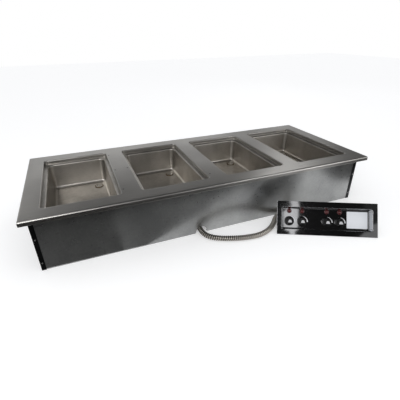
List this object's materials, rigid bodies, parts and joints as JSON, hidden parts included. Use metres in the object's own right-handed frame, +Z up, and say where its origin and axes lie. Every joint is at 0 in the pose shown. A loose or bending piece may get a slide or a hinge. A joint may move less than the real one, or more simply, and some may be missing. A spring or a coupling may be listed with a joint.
{
  "type": "drop in food well",
  "caption": "Electric drop-in hot food well: deck with deep rounded wells over an insulated housing, and a remote knob panel on ribbed conduit.",
  "frame": {"origin": "centre of the deck's top face, on the web between the second and third wells", "axes": "+Z is up, +X runs along the deck's length, and -Y is the front, where the conduit leaves and the control panel stands"},
  "size_m": [1.582, 0.9603, 0.248],
  "materials": {
    "deck_steel": "brushed",
    "well_steel": "satin",
    "galvanised": "satin",
    "element_sheath": "oxidised",
    "drain_brass": "satin",
    "mineral_wool": "matte",
    "conduit_steel": "satin",
    "mirror_steel": "polished",
    "label_film": "matte",
    "switch_case": "matte",
    "shaft_steel": "turned",
    "phenolic": "gloss",
    "red_lens": "gloss"
  },
  "bodies": {
    "well_unit": {"top_deck": "deck_steel", "well_pan_1": "well_steel", "well_pan_2": "well_steel", "well_pan_3": "well_steel", "well_pan_4": "well_steel", "heating_element_1": "element_sheath", "heating_element_2": "element_sheath", "heating_element_3": "element_sheath", "heating_element_4": "element_sheath", "element_cover_1": "galvanised", "element_cover_2": "galvanised", "element_cover_3": "galvanised", "element_cover_4": "galvanised", "drain_body_1": "drain_brass", "drain_body_2": "drain_brass", "drain_body_3": "drain_brass", "drain_body_4": "drain_brass", "drain_strainer_1": "well_steel", "drain_strainer_2": "well_steel", "drain_strainer_3": "well_steel", "drain_strainer_4": "well_steel", "drain_locknut_1": "drain_brass", "drain_locknut_2": "drain_brass", "drain_locknut_3": "drain_brass", "drain_locknut_4": "drain_brass", "housing_front": "galvanised", "housing_back": "galvanised", "housing_left_end": "galvanised", "housing_right_end": "galvanised", "bottom_pan": "galvanised", "insulation_blanket": "mineral_wool", "junction_box": "galvanised", "junction_cover": "galvanised", "terminal_block": "switch_case", "conduit_connector": "galvanised", "connector_locknut": "galvanised", "flexible_conduit": "conduit_steel", "conduit_elbow": "galvanised", "elbow_locknut": "galvanised", "control_bezel": "mirror_steel", "control_box": "galvanised", "label_plate": "label_film", "infinite_switch_1": "switch_case", "infinite_switch_2": "switch_case", "infinite_switch_3": "switch_case", "infinite_switch_4": "switch_case", "pilot_light_1": "red_lens", "pilot_light_2": "red_lens", "pilot_light_3": "red_lens", "pilot_light_4": "red_lens"},
    "knob_1": {"control_knob_1": "phenolic", "switch_shaft_1": "shaft_steel"},
    "knob_2": {"control_knob_2": "phenolic", "switch_shaft_2": "shaft_steel"},
    "knob_3": {"control_knob_3": "phenolic", "switch_shaft_3": "shaft_steel"},
    "knob_4": {"control_knob_4": "phenolic", "switch_shaft_4": "shaft_steel"}
  },
  "joints": [
    {"name": "knob_1_turn", "type": "hinge", "parent": "well_unit", "child": "knob_1", "pos_m": [0.28539, -0.41094, -0.20786], "axis": [-0.3794, -0.7462, 0.5471], "continuous": true},
    {"name": "knob_2_turn", "type": "hinge", "parent": "well_unit", "child": "knob_2", "pos_m": [0.3362, -0.43677, -0.20786], "axis": [-0.3794, -0.7462, 0.5471], "continuous": true},
    {"name": "knob_3_turn", "type": "hinge", "parent": "well_unit", "child": "knob_3", "pos_m": [0.43425, -0.48662, -0.20786], "axis": [-0.3794, -0.7462, 0.5471], "continuous": true},
    {"name": "knob_4_turn", "type": "hinge", "parent": "well_unit", "child": "knob_4", "pos_m": [0.48506, -0.51246, -0.20786], "axis": [-0.3794, -0.7462, 0.5471], "continuous": true}
  ]
}
